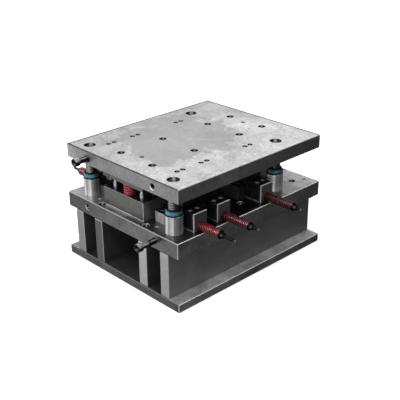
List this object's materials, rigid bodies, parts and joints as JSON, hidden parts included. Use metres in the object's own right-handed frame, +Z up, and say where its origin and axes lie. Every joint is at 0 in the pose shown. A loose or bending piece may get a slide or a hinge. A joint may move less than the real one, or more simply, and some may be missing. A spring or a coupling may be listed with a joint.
{
  "type": "stamping die",
  "caption": "Post-guided piercing die set on parallels: side cam slides with drivers, return springs on pull rods, spring stripper and punch holder.",
  "frame": {"origin": "centre of the base plate's flat underside", "axes": "+X along the die's long side, away from the end with the lifting screws; -Y is the front; +Z up, the press direction"},
  "size_m": [0.6375, 0.684, 0.347],
  "materials": {
    "ground_steel": "surface ground, lightly mottled",
    "machined_plate": "milled, dull, with an oily film",
    "parallel_steel": "ground bar ends, dull sides",
    "tool_steel": "ground tool steel with a grey-green cast",
    "plate_steel": "milled, satin",
    "hardened_steel": "hardened and ground",
    "polished_steel": "ground and polished",
    "black_steel": "black oxide",
    "black_screw": "black oxide, oiled",
    "screw_steel": "worn black oxide",
    "spring_red": "glossy red paint",
    "spring_burgundy": "glossy dark red paint",
    "ring_teal": "satin teal"
  },
  "bodies": {
    "lower_die": {"base_plate": "machined_plate", "parallel_front_outer": "parallel_steel", "parallel_front_inner": "parallel_steel", "parallel_rear_inner": "parallel_steel", "parallel_rear_outer": "parallel_steel", "lower_shoe": "machined_plate", "guide_bushes": "polished_steel", "wiper_rings": "ring_teal", "die_block": "tool_steel", "die_buttons": "hardened_steel", "heel_blocks_front": "black_steel", "heel_blocks_rear": "black_steel", "spring_plates": "plate_steel", "wear_plates": "hardened_steel", "slide_gibs": "plate_steel", "heel_screws": "screw_steel", "gib_screws": "black_screw", "parallel_screws": "black_screw", "die_block_screws": "black_screw", "lower_dowels": "hardened_steel", "lower_lifting_screw": "black_screw", "cam_spring_f1": "spring_burgundy", "cam_spring_f2": "spring_burgundy", "cam_spring_f3": "spring_burgundy", "cam_spring_r1": "spring_burgundy", "cam_spring_r2": "spring_burgundy", "cam_spring_r3": "spring_burgundy"},
    "stripper_pad": {"stripper_plate": "tool_steel", "stripper_bushes": "polished_steel", "die_springs": "spring_red", "stripper_bolts": "black_screw"},
    "upper_die": {"upper_shoe": "ground_steel", "guide_posts": "polished_steel", "punch_holder": "black_steel", "cam_drivers_front": "black_steel", "cam_drivers_rear": "black_steel", "driver_screws": "black_screw", "holder_screws": "black_screw", "upper_dowels": "hardened_steel", "upper_lifting_screw": "black_screw", "sub_guide_pins": "polished_steel", "punches": "hardened_steel"},
    "slide_f1": {"cam_slide_f1": "black_steel", "pull_rod_f1": "black_screw", "rod_nuts_f1": "black_screw"},
    "slide_f2": {"cam_slide_f2": "black_steel", "pull_rod_f2": "black_screw", "rod_nuts_f2": "black_screw"},
    "slide_f3": {"cam_slide_f3": "black_steel", "pull_rod_f3": "black_screw", "rod_nuts_f3": "black_screw"},
    "slide_r1": {"cam_slide_r1": "black_steel", "pull_rod_r1": "black_screw", "rod_nuts_r1": "black_screw"},
    "slide_r2": {"cam_slide_r2": "black_steel", "pull_rod_r2": "black_screw", "rod_nuts_r2": "black_screw"},
    "slide_r3": {"cam_slide_r3": "black_steel", "pull_rod_r3": "black_screw", "rod_nuts_r3": "black_screw"}
  },
  "joints": [
    {"name": "die_open", "type": "slide", "parent": "lower_die", "child": "stripper_pad", "axis": [0, 0, 1], "range_m": [0, 0.05]},
    {"name": "press_stroke", "type": "slide", "parent": "stripper_pad", "child": "upper_die", "axis": [0, 0, 1], "range_m": [-0.02, 0], "stiffness_N_per_m": 260000, "springref_m": 0.006, "deforming": ["die_springs"]},
    {"name": "cam_stroke_f1", "type": "slide", "parent": "lower_die", "child": "slide_f1", "axis": [0, 1, 0], "range_m": [0, 0.0193], "deforming": ["cam_spring_f1"]},
    {"name": "cam_stroke_f2", "type": "slide", "parent": "lower_die", "child": "slide_f2", "axis": [0, 1, 0], "range_m": [0, 0.0193], "deforming": ["cam_spring_f2"]},
    {"name": "cam_stroke_f3", "type": "slide", "parent": "lower_die", "child": "slide_f3", "axis": [0, 1, 0], "range_m": [0, 0.0193], "deforming": ["cam_spring_f3"]},
    {"name": "cam_stroke_r1", "type": "slide", "parent": "lower_die", "child": "slide_r1", "axis": [0, -1, 0], "range_m": [0, 0.0193], "deforming": ["cam_spring_r1"]},
    {"name": "cam_stroke_r2", "type": "slide", "parent": "lower_die", "child": "slide_r2", "axis": [0, -1, 0], "range_m": [0, 0.0193], "deforming": ["cam_spring_r2"]},
    {"name": "cam_stroke_r3", "type": "slide", "parent": "lower_die", "child": "slide_r3", "axis": [0, -1, 0], "range_m": [0, 0.0193], "deforming": ["cam_spring_r3"]}
  ],
  "couplings": [
    {"joint": "cam_stroke_f1", "follows": "press_stroke", "ratio": -0.963},
    {"joint": "cam_stroke_f2", "follows": "press_stroke", "ratio": -0.963},
    {"joint": "cam_stroke_f3", "follows": "press_stroke", "ratio": -0.963},
    {"joint": "cam_stroke_r1", "follows": "press_stroke", "ratio": -0.963},
    {"joint": "cam_stroke_r2", "follows": "press_stroke", "ratio": -0.963},
    {"joint": "cam_stroke_r3", "follows": "press_stroke", "ratio": -0.963}
  ]
}
